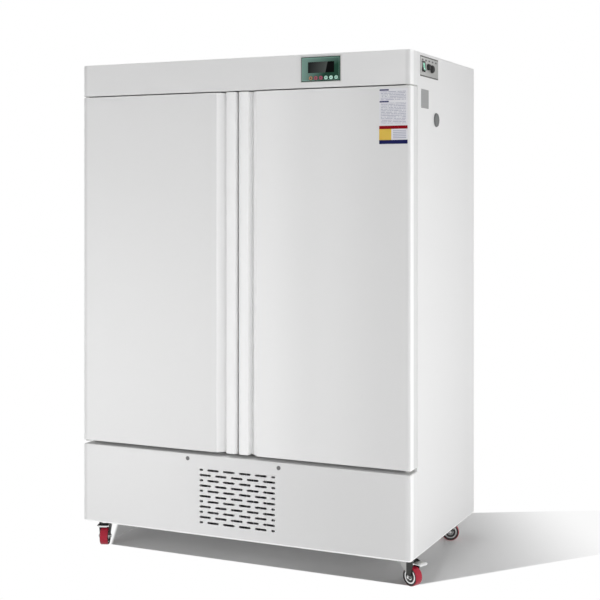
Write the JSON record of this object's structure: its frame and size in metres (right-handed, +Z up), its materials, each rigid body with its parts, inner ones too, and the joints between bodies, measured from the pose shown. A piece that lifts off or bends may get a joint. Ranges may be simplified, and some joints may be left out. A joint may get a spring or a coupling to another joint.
{
  "type": "light incubator",
  "caption": "Free-standing light incubator cabinet on swivel casters, with hinged doors with moulded edge handles, a control panel in the header and a slotted grille below.",
  "frame": {"origin": "on the floor, at the middle of the cabinet's width and depth", "axes": "+Z up; the doors face -Y; +X towards the side with the control panel, switch plate and access port"},
  "size_m": [1.3512, 0.739, 1.805],
  "materials": {
    "white_paint": "semi-gloss white powder coat",
    "black_paint": "satin black paint",
    "stainless": "brushed stainless steel",
    "zinc": "bright zinc plating",
    "aluminium": "satin aluminium",
    "white_plastic": "satin white plastic",
    "foam": "rigid foam",
    "grey_rubber": "soft grey rubber",
    "lamp": "white lamp body with diffuser",
    "green_plastic": "satin printed film on plastic",
    "grey_plastic": "satin light grey plastic",
    "black_plastic": "matte black plastic",
    "display": "glossy dark window",
    "orange_key": "orange key cap",
    "red_key": "red key cap",
    "pale_key": "pale mint key cap",
    "red_tread": "red polyurethane",
    "circuit_board": "green circuit board",
    "lit_green": "translucent green rocker"
  },
  "bodies": {
    "cabinet": {"base_frame": "white_paint", "left_side_panel": "white_paint", "right_side_panel": "white_paint", "top_panel": "white_paint", "rear_panel": "white_paint", "header_panel": "white_paint", "lower_front_panel": "white_paint", "chamber_liner": "stainless", "insulation": "foam", "mullion": "stainless", "duct_panel": "stainless", "shelf_left_lower": "stainless", "shelf_right_lower": "stainless", "shelf_left_upper": "stainless", "shelf_right_upper": "stainless", "evaporator": "aluminium", "condenser": "aluminium", "circulation_fan_motor": "black_paint", "condenser_fan_motor": "black_paint", "compressor": "black_paint", "control_bezel": "grey_plastic", "control_face": "green_plastic", "display_window": "display", "control_board": "circuit_board", "switch_plate": "aluminium", "fuse_holder": "black_plastic", "aux_socket": "black_plastic", "port_collar": "grey_plastic", "left_hinge_top": "zinc", "left_hinge_bottom": "zinc", "right_hinge_top": "zinc", "right_hinge_bottom": "zinc"},
    "left_door": {"left_door_skin": "white_paint", "left_door_liner": "white_plastic", "left_door_gasket": "grey_rubber", "left_door_lamp": "lamp"},
    "right_door": {"right_door_skin": "white_paint", "right_door_liner": "white_plastic", "right_door_gasket": "grey_rubber", "right_door_lamp": "lamp"},
    "air_fan": {"circulation_fan": "black_plastic"},
    "cooling_fan": {"condenser_fan": "black_plastic"},
    "rocker": {"mains_rocker": "lit_green"},
    "button_1": {"key_1": "orange_key"},
    "button_2": {"key_2": "red_key"},
    "button_3": {"key_3": "red_key"},
    "button_4": {"key_4": "pale_key"},
    "button_5": {"key_5": "pale_key"},
    "button_6": {"key_6": "pale_key"},
    "plug": {"port_plug": "grey_rubber"},
    "fork_front_right": {"caster_fork_front_right": "black_paint"},
    "fork_front_left": {"caster_fork_front_left": "black_paint"},
    "fork_rear_right": {"caster_fork_rear_right": "black_paint"},
    "fork_rear_left": {"caster_fork_rear_left": "black_paint"},
    "wheel_front_right": {"caster_wheel_front_right": "red_tread"},
    "wheel_front_left": {"caster_wheel_front_left": "red_tread"},
    "wheel_rear_right": {"caster_wheel_rear_right": "red_tread"},
    "wheel_rear_left": {"caster_wheel_rear_left": "red_tread"},
    "pedal_front_right": {"brake_pedal_front_right": "zinc"},
    "pedal_front_left": {"brake_pedal_front_left": "zinc"}
  },
  "joints": [
    {"name": "left_door_hinge", "type": "hinge", "parent": "cabinet", "child": "left_door", "pos_m": [-0.636, -0.3485, 1], "axis": [0, 0, -1], "range_deg": [0, 120]},
    {"name": "right_door_hinge", "type": "hinge", "parent": "cabinet", "child": "right_door", "pos_m": [0.636, -0.3485, 1], "axis": [0, 0, 1], "range_deg": [0, 120]},
    {"name": "air_fan_spin", "type": "hinge", "parent": "cabinet", "child": "air_fan", "pos_m": [0, 0.235, 1.44], "axis": [0, -1, 0], "continuous": true},
    {"name": "cooling_fan_spin", "type": "hinge", "parent": "cabinet", "child": "cooling_fan", "pos_m": [0, -0.27, 0.2258], "axis": [0, -1, 0], "continuous": true},
    {"name": "rocker_tilt", "type": "hinge", "parent": "cabinet", "child": "rocker", "pos_m": [0.6497, -0.2385, 1.7575], "axis": [0, 1, 0], "range_deg": [0, 20]},
    {"name": "key_1_press", "type": "slide", "parent": "cabinet", "child": "button_1", "axis": [0, 1, 0], "range_m": [0, 0.001], "stiffness_N_per_m": 200},
    {"name": "key_2_press", "type": "slide", "parent": "cabinet", "child": "button_2", "axis": [0, 1, 0], "range_m": [0, 0.001], "stiffness_N_per_m": 200},
    {"name": "key_3_press", "type": "slide", "parent": "cabinet", "child": "button_3", "axis": [0, 1, 0], "range_m": [0, 0.001], "stiffness_N_per_m": 200},
    {"name": "key_4_press", "type": "slide", "parent": "cabinet", "child": "button_4", "axis": [0, 1, 0], "range_m": [0, 0.001], "stiffness_N_per_m": 200},
    {"name": "key_5_press", "type": "slide", "parent": "cabinet", "child": "button_5", "axis": [0, 1, 0], "range_m": [0, 0.001], "stiffness_N_per_m": 200},
    {"name": "key_6_press", "type": "slide", "parent": "cabinet", "child": "button_6", "axis": [0, 1, 0], "range_m": [0, 0.001], "stiffness_N_per_m": 200},
    {"name": "plug_pull", "type": "slide", "parent": "cabinet", "child": "plug", "axis": [1, 0, 0], "range_m": [0, 0.06]},
    {"name": "swivel_front_right", "type": "hinge", "parent": "cabinet", "child": "fork_front_right", "pos_m": [0.603, -0.275, 0.09], "axis": [0, 0, 1], "continuous": true},
    {"name": "swivel_front_left", "type": "hinge", "parent": "cabinet", "child": "fork_front_left", "pos_m": [-0.603, -0.275, 0.09], "axis": [0, 0, 1], "continuous": true},
    {"name": "swivel_rear_right", "type": "hinge", "parent": "cabinet", "child": "fork_rear_right", "pos_m": [0.603, 0.312, 0.09], "axis": [0, 0, 1], "continuous": true},
    {"name": "swivel_rear_left", "type": "hinge", "parent": "cabinet", "child": "fork_rear_left", "pos_m": [-0.603, 0.312, 0.09], "axis": [0, 0, 1], "continuous": true},
    {"name": "roll_front_right", "type": "hinge", "parent": "fork_front_right", "child": "wheel_front_right", "pos_m": [0.63041, -0.2872, 0.0325], "axis": [0.4067, 0.9135, 0], "continuous": true},
    {"name": "roll_front_left", "type": "hinge", "parent": "fork_front_left", "child": "wheel_front_left", "pos_m": [-0.59176, -0.30282, 0.0325], "axis": [0.9272, 0.3746, 0], "continuous": true},
    {"name": "roll_rear_right", "type": "hinge", "parent": "fork_rear_right", "child": "wheel_rear_right", "pos_m": [0.57481, 0.30174, 0.0325], "axis": [0.342, -0.9397, 0], "continuous": true},
    {"name": "roll_rear_left", "type": "hinge", "parent": "fork_rear_left", "child": "wheel_rear_left", "pos_m": [-0.633, 0.312, 0.0325], "axis": [0, -1, 0], "continuous": true},
    {"name": "brake_front_right", "type": "hinge", "parent": "fork_front_right", "child": "pedal_front_right", "pos_m": [0.64228, -0.29249, 0.0785], "axis": [0.4067, 0.9135, 0], "range_deg": [0, 15]},
    {"name": "brake_front_left", "type": "hinge", "parent": "fork_front_left", "child": "pedal_front_left", "pos_m": [-0.58689, -0.31487, 0.0785], "axis": [0.9272, 0.3746, 0], "range_deg": [0, 15]}
  ]
}
